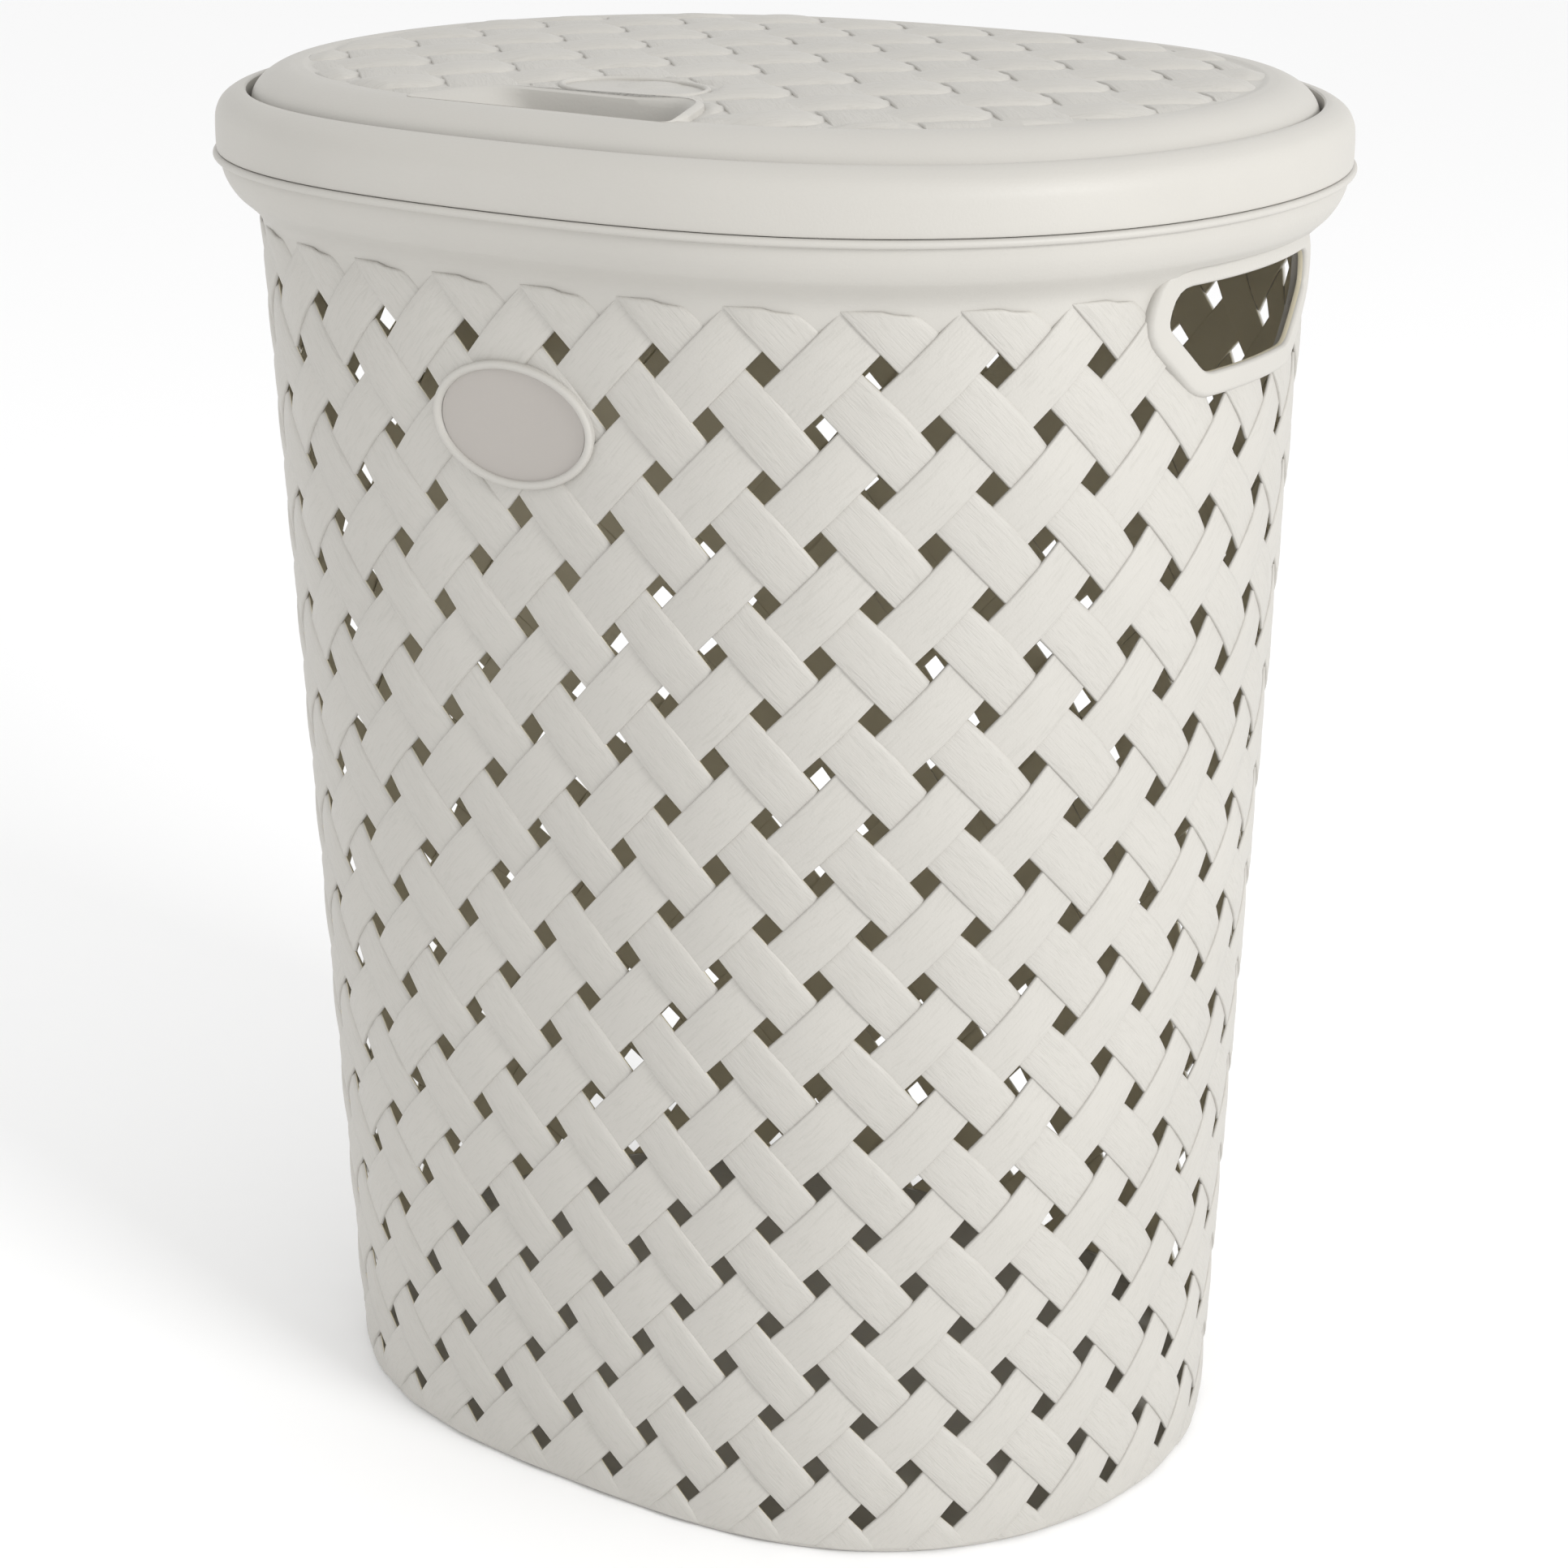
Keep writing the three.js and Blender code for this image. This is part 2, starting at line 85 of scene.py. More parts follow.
def oval_xy(column, a, b):
    """Points on ovals of half sizes a and b at weave columns, counted from the front centre."""
    column, a, b = np.broadcast_arrays(np.asarray(column, float), a, b)
    turns = np.floor(column / COLUMNS)
    place = (column / COLUMNS - turns) * ARC_STEPS
    k = np.clip(place.astype(int), 0, ARC_STEPS - 1)
    f = place - k
    ratio = np.clip((b / a - RATIOS[0]) / (RATIOS[1] - RATIOS[0]), 0, len(RATIOS) - 1.001)
    i = ratio.astype(int)
    g = ratio - i
    low = ARC_ANGLES[i, k] * (1 - f) + ARC_ANGLES[i, k + 1] * f
    high = ARC_ANGLES[i + 1, k] * (1 - f) + ARC_ANGLES[i + 1, k + 1] * f
    angle = low * (1 - g) + high * g
    r = oval_radius(angle, a, b)
    return r * np.cos(angle), r * np.sin(angle)


# ---- places read from the frame -----------------------------------------------------------------
base_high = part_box("basket_base")[1]
lid_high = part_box("lid")[1]
wall_right_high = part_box("basket_wall_right")[1]
wall_front_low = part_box("basket_wall_front")[0]
foot_z, foot_half = base_high.z, np.array([base_high.x, base_high.y])
wall_z, wall_half_top = wall_right_high.z, np.array([wall_right_high.x, -wall_front_low.y])
wall_slope = (wall_half_top - foot_half) / (wall_z - foot_z)
SHOULDER_Z = wall_z + 10.4 * MM


def wall_half(z):
    """Half sizes of the wall's outer line at a height. Above the shoulder the line stands upright."""
    z = np.minimum(z, SHOULDER_Z)
    return (foot_half[0] + wall_slope[0] * (z - foot_z), foot_half[1] + wall_slope[1] * (z - foot_z))


def on_wall(column, z, out):
    """The point at a column and height, moved outwards from the wall's outer line. All in metres."""
    column, z, out = np.broadcast_arrays(column, z, out)
    a, b = wall_half(z)
    x, y = oval_xy(column, a + out, b + out)
    return np.stack([x, y, z], axis=-1)


# ---- mesh helpers -------------------------------------------------------------------------------
def make_object(name, points, faces, material, body, smooth=True, uv=None, backs=None):
    mesh = bpy.data.meshes.new(name)
    mesh.from_pydata([tuple(p) for p in points], [], [tuple(f) for f in faces])
    if uv is not None:
        layer = mesh.uv_layers.new(name="UVMap")
        loops = np.zeros(len(mesh.loops), np.int32)
        mesh.loops.foreach_get("vertex_index", loops)
        layer.data.foreach_set("uv", np.asarray(uv, np.float32)[loops].ravel())
    mesh.materials.append(material)
    # Faces flagged in backs get the painted shade material for the basket's inside.
    if backs is not None:
        mesh.materials.append(inside_shade_plastic)
        mesh.polygons.foreach_set("material_index", np.asarray(backs, np.int32))
    mesh.polygons.foreach_set("use_smooth", [smooth] * len(mesh.polygons))
    mesh.update()
    obj = bpy.data.objects.new(name, mesh)
    bpy.context.scene.collection.objects.link(obj)
    if body:
        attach(obj, body)
    return obj


def tidy_mesh(obj, fill=True, sharp=None):
    """Closes open loops, makes the faces look outwards and marks edges sharper than an angle."""
    bm = bmesh.new()
    bm.from_mesh(obj.data)
    loose = [v for v in bm.verts if not v.link_faces]
    bmesh.ops.delete(bm, geom=loose, context="VERTS")
    if fill:
        bmesh.ops.holes_fill(bm, edges=[e for e in bm.edges if e.is_boundary], sides=0)
    bmesh.ops.recalc_face_normals(bm, faces=bm.faces)
    if sharp is not None:
        for edge in bm.edges:
            if edge.is_manifold and edge.calc_face_angle(0) > radians(sharp):
                edge.smooth = False
    bm.to_mesh(obj.data)
    bm.free()
    return obj


def combine(target, tool, operation):
    """Adds, subtracts or intersects one closed object with another, which is used up."""
    modifier = target.modifiers.new("combine", "BOOLEAN")
    modifier.object = tool
    modifier.operation = operation
    modifier.solver = "MANIFOLD"
    bpy.context.view_layer.update()
    evaluated = target.evaluated_get(bpy.context.evaluated_depsgraph_get())
    mesh = bpy.data.meshes.new_from_object(evaluated)
    target.modifiers.remove(modifier)
    old = target.data
    target.data = mesh
    bpy.data.meshes.remove(old)
    bpy.data.objects.remove(tool)


def loft(name, rows):
    """A closed solid through outlines with the same number of points, capped at both ends."""
    n = len(rows[0])
    faces = grid_faces(len(rows), n, False, True).tolist()
    faces += [list(range(n)), list(range((len(rows) - 1) * n, len(rows) * n))]
    obj = make_object(name, np.vstack(rows), faces, smooth_plastic, None)
    return tidy_mesh(obj, fill=False)


def grid_faces(rows, cols, wrap_rows=False, wrap_cols=False):
    """Quads of a grid of rows x cols points, in row order."""
    r = np.arange(rows if wrap_rows else rows - 1)
    c = np.arange(cols if wrap_cols else cols - 1)
    r, c = (m.ravel() for m in np.meshgrid(r, c, indexing="ij"))
    rn, cn = (r + 1) % rows, (c + 1) % cols
    return np.stack([r * cols + c, r * cols + cn, rn * cols + cn, rn * cols + c], axis=1)


def rounded(points, steps=4):
    """A smooth open curve through the points, as a Catmull-Rom spline."""
    p = np.asarray(points, float)
    padded = np.vstack([2 * p[0] - p[1], p, 2 * p[-1] - p[-2]])
    out = []
    for i in range(1, len(padded) - 2):
        a, b, c, d = padded[i - 1:i + 3]
        for t in np.linspace(0, 1, steps, endpoint=False):
            out.append(0.5 * (2 * b + (c - a) * t + (2 * a - 5 * b + 4 * c - d) * t ** 2
                              + (3 * b - a - 3 * c + d) * t ** 3))
    out.append(p[-1])
    return np.array(out)


def swept_ring(name, section, material, body, stations=360, keep=None, inner_from=None):
    """A closed section of (offset, z) in millimetres swept round the wall's plan. Keep chooses the faces that
    stay, and the faces from section point inner_from on carry the painted shade of the basket's inside."""
    section = np.asarray(section, float) * MM
    column = np.arange(stations) * COLUMNS / stations
    points = on_wall(column[:, None], section[None, :, 1], section[None, :, 0])
    faces = grid_faces(stations, len(section), True, True)
    flat = points.reshape(-1, 3)
    if keep is not None:
        centre = flat[faces].mean(axis=1)
        faces = faces[keep(centre)]
    backs = None if inner_from is None else np.tile(np.arange(len(section)) >= inner_from, stations)
    obj = make_object(name, flat, faces, material, body, backs=backs)
    return tidy_mesh(obj, sharp=MOULDED_EDGE)


# ---- materials ----------------------------------------------------------------------------------
def plastic(name, colour, grain=0.0, roughness=0.5, stipple=1.0):
    """Matt moulded polypropylene: a fine stipple, faint mottling and, on the strips, a pressed wood grain."""
    material = bpy.data.materials.new(name)
    material.use_nodes = True
    nodes, links = material.node_tree.nodes, material.node_tree.links
    shader = nodes["Principled BSDF"]
    shader.inputs["Specular IOR Level"].default_value = 0.4
    place = nodes.new("ShaderNodeTexCoord")

    mottle = nodes.new("ShaderNodeTexNoise")
    mottle.inputs["Scale"].default_value = 9.0
    mottle.inputs["Detail"].default_value = 4.0
    links.new(place.outputs["Object"], mottle.inputs["Vector"])
    tint = nodes.new("ShaderNodeValToRGB")
    tint.color_ramp.elements[0].position = 0.3
    tint.color_ramp.elements[1].position = 0.7
    tint.color_ramp.elements[0].color = (*[c * 0.965 for c in colour], 1)
    tint.color_ramp.elements[1].color = (*[min(1, c * 1.02) for c in colour], 1)
    links.new(mottle.outputs["Fac"], tint.inputs["Fac"])

    speck = nodes.new("ShaderNodeTexNoise")
    speck.inputs["Scale"].default_value = 900.0
    speck.inputs["Detail"].default_value = 2.0
    links.new(place.outputs["Object"], speck.inputs["Vector"])
    bump = nodes.new("ShaderNodeBump")
    bump.inputs["Strength"].default_value = 0.35 * stipple
    bump.inputs["Distance"].default_value = 0.0002
    links.new(speck.outputs["Fac"], bump.inputs["Height"])

    spread = nodes.new("ShaderNodeMapRange")
    spread.inputs["To Min"].default_value = roughness - 0.05
    spread.inputs["To Max"].default_value = roughness + 0.07
    links.new(speck.outputs["Fac"], spread.inputs["Value"])
    links.new(spread.outputs["Result"], shader.inputs["Roughness"])

    top = bump
    colour_out = tint.outputs["Color"]
    if grain:
        stretch = nodes.new("ShaderNodeMapping")
        stretch.inputs["Scale"].default_value = (75.0, 780.0, 1.0)
        links.new(place.outputs["UV"], stretch.inputs["Vector"])
        fibres = nodes.new("ShaderNodeTexNoise")
        fibres.inputs["Scale"].default_value = 1.0
        fibres.inputs["Detail"].default_value = 3.0
        fibres.inputs["Distortion"].default_value = 1.6
        links.new(stretch.outputs["Vector"], fibres.inputs["Vector"])
        lines = nodes.new("ShaderNodeBump")
        lines.inputs["Strength"].default_value = grain
        lines.inputs["Distance"].default_value = 0.0004
        links.new(fibres.outputs["Fac"], lines.inputs["Height"])
        links.new(bump.outputs["Normal"], lines.inputs["Normal"])
        top = lines
        groove = nodes.new("ShaderNodeMix")
        groove.data_type = "RGBA"
        groove.blend_type = "MULTIPLY"
        groove.inputs["Factor"].default_value = 0.25
        ramp = nodes.new("ShaderNodeValToRGB")
        ramp.color_ramp.elements[0].position = 0.30
        ramp.color_ramp.elements[0].color = (0.72, 0.72, 0.70, 1)
        ramp.color_ramp.elements[1].position = 0.50
        ramp.color_ramp.elements[1].color = (1, 1, 1, 1)
        links.new(fibres.outputs["Fac"], ramp.inputs["Fac"])
        links.new(tint.outputs["Color"], groove.inputs[6])
        links.new(ramp.outputs["Color"], groove.inputs[7])
        colour_out = groove.outputs[2]
    links.new(colour_out, shader.inputs["Base Color"])
    links.new(top.outputs["Normal"], shader.inputs["Normal"])
    return material


IVORY = (0.462, 0.447, 0.415)
GREIGE = (0.377, 0.352, 0.326)
# Painted shade: a warm brown that the faces inside the basket carry in place of the shade that falls there; the
# plastic itself is the same ivory.
INSIDE_SHADE_UMBER = (0.660, 0.605, 0.460)
smooth_plastic = plastic("smooth_plastic", IVORY)
strip_plastic = plastic("strip_plastic", IVORY, grain=0.65)
fine_plastic = plastic("fine_plastic", IVORY, grain=0.08, stipple=1.8)
# A copy of the same plastic in the painted shade colour, for the faces that look into the basket.
inside_shade_plastic = plastic("inside_shade_plastic", INSIDE_SHADE_UMBER, roughness=0.6)
badge_plastic = plastic("badge_plastic", GREIGE, roughness=0.42, stipple=0.5)

# ---- the wall's weave ---------------------------------------------------------------------------
ROW_PITCH = 22 * MM
TOP_ROW_Z = wall_z - ROW_PITCH / 2
STRIP_HALF = 0.348       # half width of a strip, in half pitches along each weave direction
STRIP_THICK = 1.5 * MM
WAVE = 0.85 * MM         # how far a strip swings out and in as it goes over and under
MID_OUT = -1.1 * MM      # the weave's middle at the foot, measured from the wall's outer line
MID_OUT_RISE = 0.3 * MM  # how much further out it lies at the shoulder
STEPS = 8                # lengthwise steps from one crossing to the next
TOP_CUT = 1.03           # the strips' tongues end here, in rows above the top row
FOOT_CUT = (2.2 * MM - TOP_ROW_Z) / ROW_PITCH
column_arc = 20.6 * MM   # arc length of one column at mid height
CROSSING_LENGTH = 30 * MM
STRIP_HALF_WIDTH = 10.4 * MM


def strip_section(half_width, thick, left, right, crown, deep=0.0):
    """Outline of a strip across its width, as (place across from -1 to 1, height). Left and right are the
    widths of its rounded edges, and deep is extra thickness on its inner face."""
    def edge(width):
        e, drop = width / half_width, 1.3 + min(1.0, width / (3 * MM))
        bend = [(0.0, 0.0), (0.06, 0.36), (0.24, 0.66), (0.55, 0.89), (1.0, 1.0)]
        return [(1 - e * x, 1 - drop * (1 - h)) for x, h in bend]
    outer = [(-q, h) for q, h in edge(left)] + [(-0.4, 1.0), (0, 1.0), (0.4, 1.0)] + edge(right)[::-1]
    inner = [(0.97, -0.85), (0.93, -1.0), (-0.93, -1.0), (-0.97, -0.85)]
    rows = [(q, h * thick / 2 + crown * (1 - q * q)) for q, h in outer]
    rows += [(q, h * thick / 2 - deep) for q, h in inner]
    return np.array(rows)


def section_backs(section):
    """Which of the faces between neighbouring section points look inwards; these get the painted shade of the basket's
    inside.
    """
    low = section[:, 1] < -0.2 * MM
    return low & np.roll(low, -1)


def weave_strip(lattice, wave_sign, t_from, t_to, section, squeeze=None):
    """One strip from t_from(q) to t_to(q), where t counts crossings and q is the place across.
    Returns lattice places, the places along and across that serve for the texture, and the swing as a share from -1 to
    1."""
    q = section[:, 0]
    start, end = t_from(q), t_to(q)
    length = np.abs(end - start).max()
    near_end = np.array([0, 0.008, 0.022, 0.045, 0.07]) / length
    middle = np.linspace(0, 1, int(np.ceil(length)) * STEPS + 1)[1:-1]
    share = np.concatenate([near_end, middle, 1 - near_end[::-1]])[:, None]
    t = start[None, :] + (end - start)[None, :] * share
    across = np.broadcast_to(q[None, :], t.shape).copy()
    if squeeze is not None:
        across = squeeze(across, t)
    u, v = lattice(t, across * STRIP_HALF)
    swing = wave_sign * np.cos(pi * t)
    return u, v, t, across, swing


# ---- hand-hold and badge outlines ---------------------------------------------------------------
hold_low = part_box("hand_hold_bezel_right")[0]
BEZEL = 9.5
HOLD_BOTTOM = hold_low.z / MM + BEZEL
HOLD_TOP = 525.2
HOLD_CORNERS = [(-33, HOLD_BOTTOM, 5), (33, HOLD_BOTTOM, 5), (55.5, 511, 4), (52, HOLD_TOP, 8.5),
                (-52, HOLD_TOP, 8.5), (-55.5, 511, 4)]


def rounded_outline(corners, steps=5):
    """A closed outline whose corners (x, y, radius) are rounded with quadratic curves."""
    out = []
    for i, (x, y, r) in enumerate(corners):
        here = Vector((x, y))
        before = (Vector(corners[i - 1][:2]) - here).normalized() * r
        after = (Vector(corners[(i + 1) % len(corners)][:2]) - here).normalized() * r
        for t in np.linspace(0, 1, steps):
            out.append(here + before * (1 - t) ** 2 + after * t ** 2)
    return np.array([tuple(p) for p in out])


def densified(outline, step):
    """The closed outline with extra points, so that no side is longer than a step."""
    out = []
    for p, q in zip(outline, np.roll(outline, -1, axis=0)):
        n = max(1, int(np.ceil(np.hypot(*(q - p)) / step)))
        out.extend(p + (q - p) * k / n for k in range(n))
    return np.array(out)


def outline_normals(outline):
    """Directions pointing out of a closed anticlockwise outline."""
    along = np.roll(outline, -1, axis=0) - np.roll(outline, 1, axis=0)
    normal = np.stack([along[:, 1], -along[:, 0]], axis=1)
    return normal / np.linalg.norm(normal, axis=1)[:, None]


def hand_hold_outline(margin):
    """The hand-hold's outline in metres, widened by a margin in millimetres."""
    outline = densified(rounded_outline(HOLD_CORNERS), 4)
    return (outline + outline_normals(outline) * margin) * MM


def inside_outline(x, y, outline):
    """Whether each point lies inside a closed outline."""
    inside = np.zeros(np.shape(x), bool)
    for (x0, y0), (x1, y1) in zip(outline, np.roll(outline, -1, axis=0)):
        crosses = (y0 > y) != (y1 > y)
        with np.errstate(divide="ignore", invalid="ignore"):
            at = x0 + (y - y0) * (x1 - x0) / (y1 - y0)
        inside ^= crosses & (x < at)
    return inside


badge_low, badge_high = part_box("front_badge")
BADGE_Z = (badge_low.z + badge_high.z) / 2
BADGE_HALF = ((badge_high.x - badge_low.x) / 2, (badge_high.z - badge_low.z) / 2)


def build_weave(name, rising):
    """All the wall's strips that lean one way, as closed ribbons in one mesh."""
    if rising:
        section = strip_section(STRIP_HALF_WIDTH, STRIP_THICK, 0.7 * MM, 0.9 * MM, 0.2 * MM)
    else:
        section = strip_section(STRIP_HALF_WIDTH, STRIP_THICK, 0.6 * MM, 3.2 * MM, 0.25 * MM)
    q_count = len(section)
    points, faces, uvs, backs = [], [], [], []
    start = 0
    for strip in range(0, COLUMNS, 2):
        if rising:
            lattice = lambda t, q: (strip + t + q, t - q)
            t_from = lambda q: FOOT_CUT + q * STRIP_HALF
            t_to = lambda q: 0.80 + 0.45 * q * STRIP_HALF
            squeeze = None
            sign = 1
        else:
            lattice = lambda t, q: (strip + t + q, -t + q)
            t_from = lambda q: q * STRIP_HALF - TOP_CUT
            t_to = lambda q: q * STRIP_HALF - FOOT_CUT
            squeeze = lambda q, t: np.where(
                q > 0, q * (1 - 0.06 * np.cos(pi * t) - 0.5 * np.clip((-0.3 - t) / 0.65, 0, 1) ** 1.5), q)
            sign = -1
        u, v, t, across, swing = weave_strip(lattice, sign, t_from, t_to, section, squeeze)
        z = TOP_ROW_Z + v * ROW_PITCH
        fade = np.clip((z - 2 * MM) / (9 * MM), 0, 1)
        middle = MID_OUT + MID_OUT_RISE * np.clip(z / SHOULDER_Z, 0, 1)
        from_end = np.clip((t - t[0]) * CROSSING_LENGTH / (1.9 * MM), 0, 1)
        tip = (1 - np.sqrt(1 - (1 - from_end) ** 2)) * np.where(section[:, 1] > 0, 0.9 * MM, 0)
        out = middle + WAVE * swing * fade + section[None, :, 1] - tip
        points.append(on_wall(u, z, out).reshape(-1, 3))
        uv = np.stack([t * CROSSING_LENGTH + strip * 0.37, across * STRIP_HALF_WIDTH + strip * 0.11], axis=-1)
        uvs.append(uv.reshape(-1, 2))
        quads = grid_faces(len(t), q_count, False, True)
        ends = np.array([list(range(q_count)), list(range((len(t) - 1) * q_count, len(t) * q_count))])
        faces.extend((quads + start).tolist())
        # The strips' inner faces get the painted shade of the basket's inside.
        backs.extend(np.tile(section_backs(section), len(t) - 1).tolist())
        faces.extend((ends + start).tolist())
        backs.extend([0, 0])
        start += u.size
    material = fine_plastic if rising else strip_plastic
    obj = make_object(name, np.vstack(points), faces, material, "basket", uv=np.vstack(uvs),
                      backs=backs)
    return tidy_mesh(obj)


rising = build_weave("weave_rising_strips", True)
falling = build_weave("weave_falling_strips", False)
WALL_NODES = ["basket_wall_" + side for side in ("front", "right", "back", "left")]
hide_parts(*WALL_NODES)
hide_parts(*WALL_NODES)

# ---- foot and floor of the basket ---------------------------------------------------------------
foot_profile = rounded([(-2.0, 10.4), (-1.2, 9.6), (-0.9, 6), (-0.9, 3.2), (-1.3, 1.2), (-2.6, 0.1)], 3)
foot_inner = [(-9, 0), (-14, 0.0), (-14, 2.6), (-6.5, 3.2), (-4.2, 5), (-3.8, 10.4)]
foot = swept_ring("basket_foot", np.vstack([foot_profile, foot_inner]), smooth_plastic, "basket")


def oval_plate(name, rings, material, body, stations=180):
    """A closed plate through rings of (half length, half width, z) in metres, from one centre to the other."""
    column = np.arange(stations) * COLUMNS / stations
    points = []
    for a, b, z in rings:
        x, y = oval_xy(column, np.maximum(a, 1e-4), np.maximum(b, 1e-4))
        points.append(np.stack([x, y, np.full(stations, z)], axis=-1))
    faces = grid_faces(len(rings), stations, False, True).tolist()
    faces += [list(range(stations)), list(range((len(rings) - 1) * stations, len(rings) * stations))]
    obj = make_object(name, np.vstack(points), faces, material, body)
    return tidy_mesh(obj, sharp=MOULDED_EDGE)


inner = foot_half - 10 * MM
floor_rings = [(inner[0] * k, inner[1] * k, 0.0) for k in (0.05, 0.4, 0.8, 1.0)]
floor_rings += [(inner[0] * k, inner[1] * k, (2.8 + 0.4 * (1 - k)) * MM) for k in (1.0, 0.8, 0.4, 0.05)]
floor_plate = oval_plate("basket_floor", floor_rings, smooth_plastic, "basket")
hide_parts("basket_base")
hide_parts("basket_base")

# ---- rim ----------------------------------------------------------------------------------------
flare_out = rounded([(-1.4, 509.4), (-1.1, 514), (-0.8, 518), (-0.5, 522), (0.2, 525), (1.6, 527.6),
                     (4.0, 530.4), (7.0, 533.2), (9.6, 535.8), (11.9, 539.4), (13.5, 543.0), (14.4, 546.6),
                     (14.7, 548.9)], 4)
bead = rounded([(15.6, 549.1), (16.8, 549.5), (17.4, 550.6), (17.0, 551.7), (15.9, 552.25), (14.6, 552.3)], 4)
flare_in = rounded([(12.6, 552.1), (11.9, 547), (9.5, 541), (6.6, 537), (2.9, 533.8), (0.3, 531),
                    (-1.4, 527), (-2.9, 521), (-3.9, 509.4)], 3)
# The rim's inner side, from the bead inwards, carries the painted shade of the basket's inside.
rim = swept_ring("basket_rim_moulding", np.vstack([flare_out, bead, flare_in]), smooth_plastic, "basket",
                 stations=480, inner_from=len(flare_out) + len(bead) + 1)
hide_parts("basket_rim")


def hand_hold_cutter(centre_column):
    """A solid through the wall, with the hand-hold's outline widened to the middle of its bezel."""
    outline = hand_hold_outline(7)
    column = centre_column + outline[:, 0] / column_arc
    rows = [on_wall(column, outline[:, 1], np.full(len(outline), out * MM)) for out in (-14, -7, 0, 7, 14, 30)]
    return loft("cutter", rows)


for moulding in (rising, falling, rim):
    for centre in (QUARTER, -QUARTER):
        combine(moulding, hand_hold_cutter(centre), "DIFFERENCE")


def wall_patch(name, outline, section, centre_column, material):
    """A band swept round an outline on the wall. The section lists (margin outwards, height) in millimetres."""
    normals = outline_normals(outline)
    section = np.asarray(section, float)
    place = outline[:, None, :] + normals[:, None, :] * section[None, :, 0, None]
    column = centre_column + place[..., 0] * MM / column_arc
    points = on_wall(column, place[..., 1] * MM, section[None, :, 1] * MM)
    faces = grid_faces(len(outline), len(section), True, True)
    # The bezel's wall that faces into the opening gets the painted shade of the basket's inside.
    inwards = (section[:, 0] < 4) & (section[:, 1] < 1)
    obj = make_object(name, points.reshape(-1, 3), faces, material, "basket",
                      backs=np.tile(inwards, len(outline)))
    return tidy_mesh(obj, sharp=45)


bezel_section = np.vstack([
    rounded([(-0.1, -0.5), (-0.3, 0.4), (-0.3, 1.8), (0.2, 2.7), (1.3, 3.2), (6.8, 3.1), (8.6, 2.3), (9.5, 0.6),
             (9.6, -2.6)], 3),
    [(8.0, -3.6), (4.0, -3.6), (3.6, -0.9)],
])
for side, centre in (("right", QUARTER), ("left", -QUARTER)):
    outline = densified(rounded_outline(HOLD_CORNERS), 3)
    bezel = wall_patch("hand_hold_bezel_moulding_" + side, outline, bezel_section, centre, smooth_plastic)
    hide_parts("hand_hold_bezel_" + side)


def oval_boss(name, profile, half, centre, place, body, material):
    """A closed oval boss. The profile lists (share of the half size, height); place puts it on a surface."""
    around = 96
    angle = np.arange(around) * 2 * pi / around
    rows = []
    for share, height in profile:
        s = np.maximum(share, 0.004)
        x = centre[0] + half[0] * s * np.cos(angle)
        y = centre[1] + half[1] * s * np.sin(angle)
        rows.append(place(x, y, np.full(around, height * MM)))
    faces = grid_faces(len(rows), around, False, True).tolist()
    faces += [list(range(around)), list(range((len(rows) - 1) * around, len(rows) * around))]
    obj = make_object(name, np.vstack(rows), faces, material, body)
    return tidy_mesh(obj, sharp=50)


plate_profile = [(0, 1.5), (0.45, 1.5), (0.8, 1.5), (0.895, 1.45)]
badge_plate = oval_boss(
    "front_badge_plate", plate_profile + [(0.9, -3.5), (0, -3.5)], BADGE_HALF, (0, BADGE_Z),
    lambda x, z, h: on_wall(x / column_arc, z, h), "basket", badge_plastic)


def badge_ring(name, half, centre, place, body, width=1.65, height=1.6, lift=1.7, deep=3.5):
    """The raised rounded rim round a badge, with a root that goes down into the surface."""
    around = 128
    angle = np.arange(around) * 2 * pi / around
    outline = np.stack([half[0] / MM * np.cos(angle), half[1] / MM * np.sin(angle)], axis=1)
    normals = outline_normals(outline)
    arc = np.linspace(0, pi, 9)
    section = np.vstack([np.stack([width * np.cos(arc), lift + height * np.sin(arc)], axis=1),
                         [(-width, -deep), (width, -deep)]])
    spot = outline[:, None, :] + normals[:, None, :] * (section[None, :, 0, None] - width)
    points = place(centre[0] + spot[..., 0] * MM, centre[1] + spot[..., 1] * MM,
                   np.broadcast_to(section[None, :, 1] * MM, spot.shape[:2]))
    faces = grid_faces(around, len(section), True, True)
    obj = make_object(name, points.reshape(-1, 3), faces, smooth_plastic, body)
    return tidy_mesh(obj, sharp=50)


badge_rim = badge_ring("front_badge_rim", BADGE_HALF, (0, BADGE_Z), lambda x, z, h: on_wall(x / column_arc, z, h),
                       "basket")
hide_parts("front_badge")
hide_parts("front_badge")

# ---- lid frame ----------------------------------------------------------------------------------
collar_out = rounded([(15.6, 552.6), (15.9, 553.2), (16.0, 557), (15.9, 563), (15.4, 567.6), (13.4, 571.8),
                      (10.0, 574.6), (6.6, 576.0), (4.3, 576.2)], 4)
collar_in = [(3.7, 575.7), (3.6, 574.6), (3.6, 562.9), (5.8, 560.4), (8.8, 560.2), (8.8, 546.6),
             (11.0, 546.6), (11.0, 561.6), (13.5, 561.6), (13.5, 552.6)]
collar = swept_ring("lid_frame_collar", np.vstack([collar_out, collar_in]), smooth_plastic, "lid_frame")
HINGE = Vector(next(j for j in frame["joints"] if j["name"] == "lid_hinge")["pos_m"])


def clear_of_hinge(points):
    """The ledge is cut away behind the hinge line, but for the tabs that carry the bearings."""
    x = np.abs(points[:, 0])
    tab = (x > 102.5 * MM) & (x < 111.5 * MM)
    return ~((points[:, 1] > HINGE.y - 9 * MM) & (x < 150 * MM)) | tab


